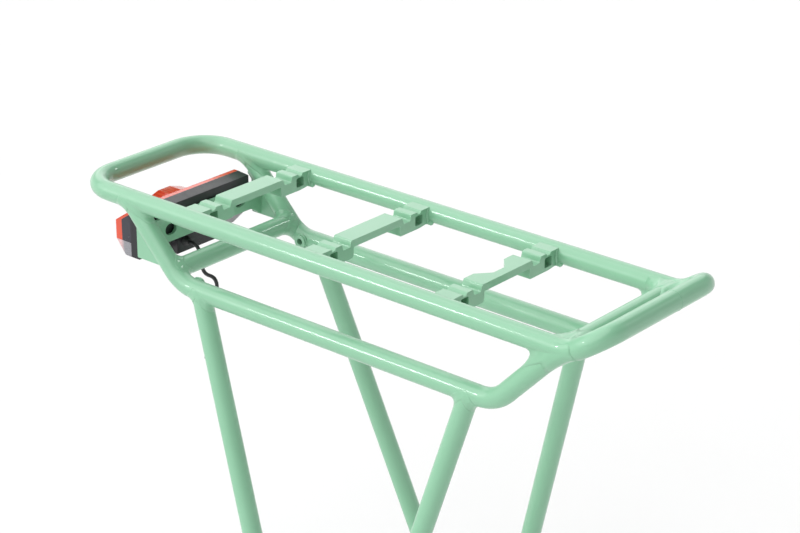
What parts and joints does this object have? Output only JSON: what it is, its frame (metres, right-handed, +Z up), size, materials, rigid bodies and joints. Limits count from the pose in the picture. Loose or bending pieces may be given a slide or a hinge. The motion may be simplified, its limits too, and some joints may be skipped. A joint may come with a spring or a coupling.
{
  "type": "bicycle rear rack",
  "caption": "Welded tube rear rack with extruded crossbars, kicked-up front bar, slanted legs and a bolted-on rear light.",
  "frame": {"origin": "midway between the two foot bolt holes, on their common axis", "axes": "+X to the front of the bicycle, +Y to its left side, +Z up; the deck is level"},
  "size_m": [0.47, 0.1996, 0.4485],
  "materials": {
    "green_paint": "gloss",
    "black_plastic": "matte",
    "smoky_plastic": "gloss",
    "red_lens": "gloss",
    "clear_reflector": "gloss",
    "black_foam": "matte",
    "circuit_board": "satin",
    "led": "gloss",
    "zinc_steel": "satin",
    "black_rubber": "matte",
    "cable_jacket": "satin",
    "brass": "satin"
  },
  "bodies": {
    "root": {"deck_hoop": "green_paint", "front_cross_tube": "green_paint", "rear_lower_cross_tube": "green_paint", "rear_crossbar": "green_paint", "middle_crossbar": "green_paint", "front_crossbar": "green_paint", "light_bracket": "green_paint", "left_side_rail": "green_paint", "left_rear_leg": "green_paint", "left_front_leg": "green_paint", "left_foot_plate": "green_paint", "left_boss": "green_paint", "right_side_rail": "green_paint", "right_rear_leg": "green_paint", "right_front_leg": "green_paint", "right_foot_plate": "green_paint", "right_boss": "green_paint", "light_housing": "black_plastic", "light_body_band": "smoky_plastic", "light_lens": "red_lens", "light_reflector": "clear_reflector", "light_gasket": "black_foam", "light_circuit_board": "circuit_board", "light_leds": "led", "light_studs": "zinc_steel", "light_washers": "zinc_steel", "light_nuts": "zinc_steel", "light_grommet": "black_rubber", "light_cable": "cable_jacket", "cable_connector": "black_plastic", "connector_pins": "brass"}
  },
  "joints": []
}
